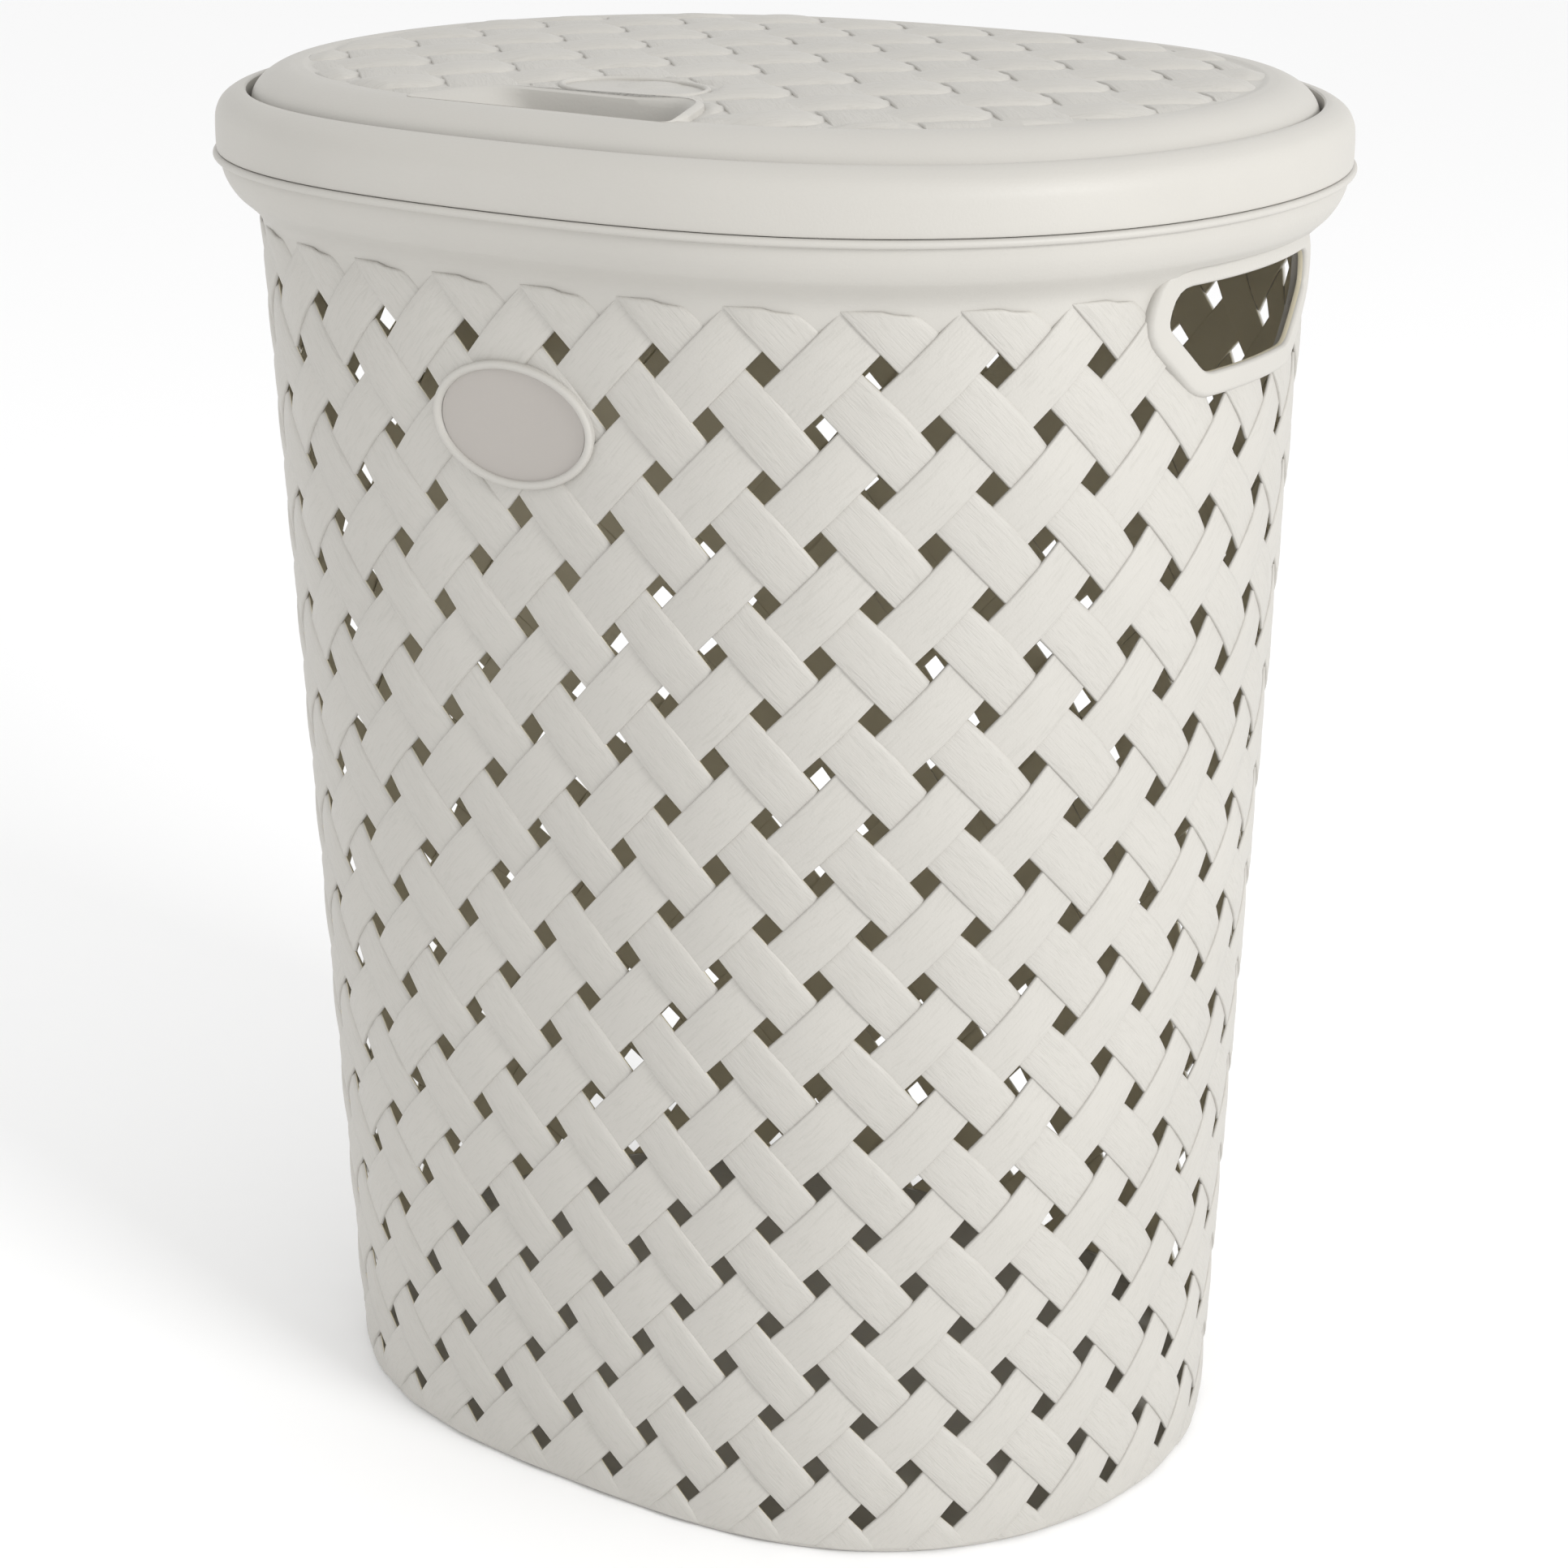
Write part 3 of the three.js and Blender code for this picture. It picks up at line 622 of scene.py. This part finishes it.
ledge = swept_ring("lid_frame_ledge", [(4.2, 563.0), (-6.6, 563.0), (-7, 562.6), (-7, 560.6), (4.2, 560.6)],
                   smooth_plastic, "lid_frame", stations=720, keep=clear_of_hinge)
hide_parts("lid_frame")
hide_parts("lid_frame")

# ---- lid ----------------------------------------------------------------------------------------
LID_PANEL = (200 * MM, 160 * MM)
CROWN_Z = lid_high.z - 2.2 * MM
CROWN_DROP = 2.8 * MM


def crown_z(x, y):
    """Height of the lid's crowned panel."""
    angle = np.arctan2(y, x)
    share = np.hypot(x, y) / oval_radius(angle, *LID_PANEL)
    return CROWN_Z - CROWN_DROP * share ** 2


def lid_ring(share, below=0.0):
    """A ring of the lid at a share of the panel's size, some millimetres below the crowned surface."""
    a, b = LID_PANEL[0] * share, LID_PANEL[1] * share
    return a, b, CROWN_Z - CROWN_DROP * share ** 2 - below * MM


lid_a, lid_b = lid_high.x, lid_high.y
border = [(201.2, 161.3, 584.9), (204.5, 164.8, 584.7), (208.5, 168.9, 583.6), (212.3, 173.2, 581.5),
          (215.5, 176.8, 578.8), (217.6, 179.0, 575.9), (218.7, 180.1, 573.0), (219.0, 180.4, 570)]
border = [(a * MM, b * MM, z * MM) for a, b, z in np.vstack([rounded(border, 3)])]
lid_rings = [lid_ring(k, 1.0) for k in (0.02, 0.3, 0.6, 0.85, 0.95, 0.972)]
lid_rings += [lid_ring(0.98, 1.0), lid_ring(0.987, 0.7), lid_ring(0.994, 0.1), lid_ring(1.0, 0.0)]
lid_rings += border
lid_a, lid_b = lid_a + 1.5 * MM, lid_b + 0.9 * MM
lid_rings += [(lid_a, lid_b, 564.2 * MM), (lid_a - 0.6 * MM, lid_b - 0.6 * MM, 563.5 * MM),
              (lid_a - 2.2 * MM, lid_b - 2.2 * MM, 563.5 * MM), (lid_a - 2.4 * MM, lid_b - 2.4 * MM, 571.8 * MM),
              (212.6 * MM, 174 * MM, 576 * MM), (206.5 * MM, 167 * MM, 579.0 * MM)]
lid_rings += [lid_ring(k, 4.6) for k in (0.99, 0.85, 0.6, 0.3, 0.02)]
lid_shell = oval_plate("lid_shell", lid_rings, smooth_plastic, "lid", stations=240)

# The finger opening: a funnel with a straight front edge and sloping ends, cut through the lid.
SLOT_FRONT, SLOT_BACK = -160.0, -124.0
SLOT_TOP = [(-61, SLOT_FRONT, 3), (61, SLOT_FRONT, 3), (47, SLOT_BACK, 12), (-47, SLOT_BACK, 12)]
SLOT_BOTTOM = [(-24, SLOT_FRONT + 1, 3), (52, SLOT_FRONT + 1, 3), (42, SLOT_BACK - 5, 8), (-22, SLOT_BACK - 5, 6)]
SLOT_DEPTH = 19.0
LIP_REACH = 5.0          # rows below this height follow the raised lip at the slot's right end


def smooth_step(x):
    x = np.clip(x, 0, 1)
    return x * x * (3 - 2 * x)


def funnel(name, levels):
    """A closed solid through outlines at levels of (share from top to bottom, z, margin), in millimetres."""
    top, bottom = densified_corners(SLOT_TOP), densified_corners(SLOT_BOTTOM)
    rows = []
    for share, z, margin in levels:
        outline = top * (1 - share) + bottom * share
        behind_front = smooth_step((outline[:, 1] - SLOT_FRONT) / 7)
        lip = smooth_step((outline[:, 0] - 15) / 30) * behind_front
        away = np.minimum(margin, 0.6) + np.maximum(margin - 0.6, 0) * behind_front
        outline = outline + outline_normals(outline) * away[:, None]
        on_lip = 0 < z < LIP_REACH
        height = z * (0.15 + 0.85 * lip) if on_lip else z
        rows.append(np.column_stack([outline, crown_z(outline[:, 0] * MM, outline[:, 1] * MM) / MM + height]) * MM)
    return loft(name, rows)


def densified_corners(corners):
    """A rounded outline with the same number of points whatever its size, so that two can be blended."""
    per_side = 16
    rounded_points = rounded_outline(corners, 7)
    out = []
    for i in range(len(corners)):
        bend = rounded_points[i * 7:(i + 1) * 7]
        following = rounded_points[((i + 1) * 7) % len(rounded_points)]
        out.extend(bend)
        for k in range(1, per_side):
            out.append(bend[-1] + (following - bend[-1]) * k / per_side)
    return np.array(out)


housing = funnel("housing", [
    (1.0, -SLOT_DEPTH, 2.2), (0.5, -SLOT_DEPTH / 2, 2.6), (0.12, -2.5, 4.6), (0.0, -1.2, 6.0),
    (0.0, 0.9, 5.6), (0.0, 1.7, 4.6), (0.0, 2.0, 3.0)])
cutter = funnel("cutter", [
    (1.2, -SLOT_DEPTH - 4, 0), (1.0, -SLOT_DEPTH, 0), (0.45, -SLOT_DEPTH * 0.45, 0),
    (0.15, -2.4, 0.1), (0.04, -0.4, 0.5), (0.0, 0.9, 1.4), (0.0, 1.7, 2.6), (0.0, 9, 3.4)])
combine(lid_shell, housing, "UNION")
combine(lid_shell, cutter, "DIFFERENCE")
# The back edge is notched where it swings down past a bearing.
BEARING_CLEAR = 1.2 * MM
bearing_low, bearing_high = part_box("hinge_bearing_right")
for side in (-1, 1):
    from_x, to_x = sorted((side * (bearing_low.x - BEARING_CLEAR), side * (bearing_high.x + BEARING_CLEAR)))
    corners = np.array([(from_x, HINGE.y + 1 * MM), (to_x, HINGE.y + 1 * MM), (to_x, 0.185), (from_x, 0.185)])
    combine(lid_shell, loft("notch", [np.column_stack([corners, np.full(4, z)]) for z in (0.545, 0.61)]), "DIFFERENCE")
tidy_mesh(lid_shell, fill=False, sharp=34)
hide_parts("lid")

# The collar's inner face is relieved at both ends of the hinge line, where the open lid's edge passes it.
RELIEF_CENTRE, RELIEF_REACH, RELIEF_DEPTH = 132, 40, 2.2   # millimetres
for vertex in collar.data.vertices:
    x, y, z = vertex.co
    near = np.clip(1.6 - 1.6 * abs(abs(x) - RELIEF_CENTRE * MM) / (RELIEF_REACH * MM), 0, 1)
    inner_edge = oval_radius(np.arctan2(y, x), lid_a + 4.5 * MM, lid_b + 4.5 * MM)
    if y > 0 and z > 562 * MM and np.hypot(x, y) < inner_edge:
        vertex.co += Vector((x, y, 0)).normalized() * RELIEF_DEPTH * MM * near

lid_badge_low, lid_badge_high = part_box("lid_badge")
LID_BADGE_C = ((lid_badge_low.x + lid_badge_high.x) / 2, (lid_badge_low.y + lid_badge_high.y) / 2)
LID_BADGE_HALF = ((lid_badge_high.x - lid_badge_low.x) / 2, (lid_badge_high.y - lid_badge_low.y) / 2)
on_lid = lambda x, y, h: np.stack([x, y, crown_z(x, y) + h], axis=-1)

LID_PITCH = 22 * MM
LID_STRIP_HALF = 0.44
LID_THICK = 1.5 * MM
LID_STEPS = 24
SLOT_CORNERS = densified_corners(SLOT_TOP)


def lid_sink(x, y):
    """How far the strips dip, so that they run in under the border, the slot's lip and the badge."""
    share = np.hypot(x, y) / oval_radius(np.arctan2(y, x), *LID_PANEL)
    edge = np.clip((share - 0.955) / 0.035, 0, 1)
    slot = sum(inside_outline(x, y, (SLOT_CORNERS + outline_normals(SLOT_CORNERS) * margin) * MM) * 0.2
               for margin in (5.5, 6.5, 7.5, 8.5, 9.5))
    badge = np.hypot((x - LID_BADGE_C[0]) / (LID_BADGE_HALF[0] + 1 * MM),
                     (y - LID_BADGE_C[1]) / (LID_BADGE_HALF[1] + 1 * MM))
    badge = np.clip((1.1 - badge) / 0.12, 0, 1)
    return np.maximum(np.maximum(edge, slot), badge) * 2.2 * MM


def build_lid_weave(name, rising):
    """All the lid's strips that run one way. The rising ones end in round tongues that dive under the others."""
    half = LID_STRIP_HALF * LID_PITCH * 1.414
    if rising:
        section = strip_section(half, LID_THICK, 6.0 * MM, 3.4 * MM, 1.5 * MM, deep=0.9 * MM)
    else:
        section = strip_section(half, LID_THICK, 0.7 * MM, 1.6 * MM, 0.2 * MM)
    q_count = len(section)
    points, faces, uvs = [], [], []
    start = 0
    for strip in range(-18, 20, 2):
        t = np.arange(-10 * LID_STEPS, 10 * LID_STEPS + 1)[:, None] / LID_STEPS
        t = np.broadcast_to(t, (t.shape[0], q_count))
        place = (strip / 2 + t + (0 if rising else 1) + 1) % 2 - 1
        swing = np.cos(pi * place)
        if rising:
            nose = np.clip((place - 0.2) / 0.42, 0, 1)
            width = np.where(place < 0.62, np.sqrt(1 - 0.9 * nose ** 2),
                             0.32 + 0.68 * smooth_step((place - 0.66) / 0.3))
            q = section[None, :, 0] * LID_STRIP_HALF * width
            dive = smooth_step((place - 0.36) / 0.2) * (1 - smooth_step((place - 0.75) / 0.2))
            i, j = strip / 2 + t + q, -strip / 2 + t - q
            height = 1.1 * MM * swing - 1.0 * MM * dive
        else:
            q = np.broadcast_to(section[None, :, 0] * LID_STRIP_HALF, t.shape)
            i, j = strip / 2 + t + q, strip / 2 - t + q
            height = 0.8 * MM * swing - 0.5 * MM * smooth_step((np.abs(place) - 0.35) / 0.3)
        x, y = i * LID_PITCH, j * LID_PITCH
        z = crown_z(x, y) - 1.3 * MM - lid_sink(x, y) + height + section[None, :, 1]
        z = np.maximum(z, crown_z(x, y) - 3.8 * MM)
        points.append(np.stack([x, y, z], axis=-1).reshape(-1, 3))
        uvs.append(np.stack([t * 31 * MM + strip * 0.31, q * 31 * MM + strip * 0.13],
                            axis=-1).reshape(-1, 2))
        faces.extend((grid_faces(len(t), q_count, False, True) + start).tolist())
        faces += [list(range(start, start + q_count)), list(range(start + x.size - q_count, start + x.size))]
        start += x.size
    material = fine_plastic if rising else strip_plastic
    obj = make_object(name, np.vstack(points), faces, material, "lid", uv=np.vstack(uvs))
    tidy_mesh(obj)
    column = np.arange(240) * COLUMNS / 240
    rim_x, rim_y = oval_xy(column, LID_PANEL[0] * 0.992, LID_PANEL[1] * 0.992)
    outline = np.stack([rim_x, rim_y], axis=1)
    combine(obj, loft("panel", [np.column_stack([outline, np.full(240, z)]) for z in (0.55, 0.61)]), "INTERSECT")
    around_slot = (SLOT_CORNERS + outline_normals(SLOT_CORNERS) * 3.2) * MM
    combine(obj, loft("slot", [np.column_stack([around_slot, np.full(len(around_slot), z)]) for z in (0.55, 0.61)]),
            "DIFFERENCE")
    return obj


for label, is_rising in (("rising", True), ("falling", False)):
    strips = build_lid_weave("lid_weave_" + label, is_rising)
    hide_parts("lid")

lid_seat = oval_boss("lid_badge_seat", [(0, -2), (0.9, -1.7), (1.06, -0.5), (1.18, -0.9), (1.22, -2.6), (0, -3.3)],
                     LID_BADGE_HALF, LID_BADGE_C, on_lid, "lid", smooth_plastic)
lid_plate = oval_boss("lid_badge_plate", [(0, -1.5), (0.45, -1.5), (0.8, -1.5), (0.92, -1.5), (0.93, -3.2), (0, -3.2)],
                      LID_BADGE_HALF, LID_BADGE_C, on_lid, "lid", badge_plastic)
lid_badge_rim = badge_ring("lid_badge_rim", LID_BADGE_HALF, LID_BADGE_C, on_lid, "lid", width=1.3, height=1.0,
                           lift=-0.6, deep=3.2)
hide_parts("lid_badge")
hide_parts("lid_badge")
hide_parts("lid_badge")

for node in ("hinge_bearing_right", "hinge_bearing_left", "hinge_trunnion_right", "hinge_trunnion_left"):
    frame["nodes"][node].data.materials.clear()
    frame["nodes"][node].data.materials.append(smooth_plastic)

# ---- floor, light and camera --------------------------------------------------------------------
floor_material = bpy.data.materials.new("floor_paint")
floor_material.use_nodes = True
floor_shader = floor_material.node_tree.nodes["Principled BSDF"]
floor_shader.inputs["Base Color"].default_value = (0.93, 0.93, 0.93, 1)
floor_shader.inputs["Roughness"].default_value = 0.85
floor_size = 12.0
floor = make_object("floor", [(-floor_size, -floor_size, 0), (floor_size, -floor_size, 0),
                              (floor_size, floor_size, 0), (-floor_size, floor_size, 0)], [(0, 1, 2, 3)],
                    floor_material, None, smooth=False)

world = bpy.data.worlds.new("studio")
bpy.context.scene.world = world
world.use_nodes = True
world.node_tree.nodes["Background"].inputs["Color"].default_value = (1, 1, 1, 1)
world.node_tree.nodes["Background"].inputs["Strength"].default_value = 1.0


def area_light(name, place, target, size, power):
    light = bpy.data.lights.new(name, "AREA")
    light.shape = "RECTANGLE"
    light.size, light.size_y = size
    light.energy = power
    obj = bpy.data.objects.new(name, light)
    bpy.context.scene.collection.objects.link(obj)
    obj.location = place
    obj.rotation_euler = (Vector(target) - Vector(place)).to_track_quat("-Z", "Y").to_euler()
    return obj


area_light("key_light", (2.9, -0.55, 1.6), (0, 0, 0.35), (1.0, 1.0), 59)
area_light("fill_light", (-1.5, -2.0, 0.3), (0, 0, 0.1), (0.8, 0.4), 6)

CAMERA_AZIMUTH = 0.5956  # radians round from the front
CAMERA_DISTANCE, CAMERA_HEIGHT = 1.3225, 0.7467
CAMERA_YAW, CAMERA_PITCH, CAMERA_ROLL = 0.5933, 0.3424, 0.003
camera_data = bpy.data.cameras.new("camera")
camera = bpy.data.objects.new("camera", camera_data)
bpy.context.scene.collection.objects.link(camera)
camera_data.sensor_width = 36
camera_data.lens = 73.64
camera_data.clip_start = 0.05
forward = Vector((-sin(CAMERA_YAW) * cos(CAMERA_PITCH), cos(CAMERA_YAW) * cos(CAMERA_PITCH), -sin(CAMERA_PITCH)))
level = Vector((cos(CAMERA_YAW), sin(CAMERA_YAW), 0))
upright = level.cross(forward)
right = level * cos(CAMERA_ROLL) + upright * sin(CAMERA_ROLL)
up = upright * cos(CAMERA_ROLL) - level * sin(CAMERA_ROLL)
axes = Matrix((right, up, -forward)).transposed().to_4x4()
camera.matrix_world = Matrix.Translation(
    (CAMERA_DISTANCE * sin(CAMERA_AZIMUTH), -CAMERA_DISTANCE * cos(CAMERA_AZIMUTH), CAMERA_HEIGHT)) @ axes
bpy.context.scene.camera = camera
bpy.context.scene.view_settings.view_transform = "Standard"
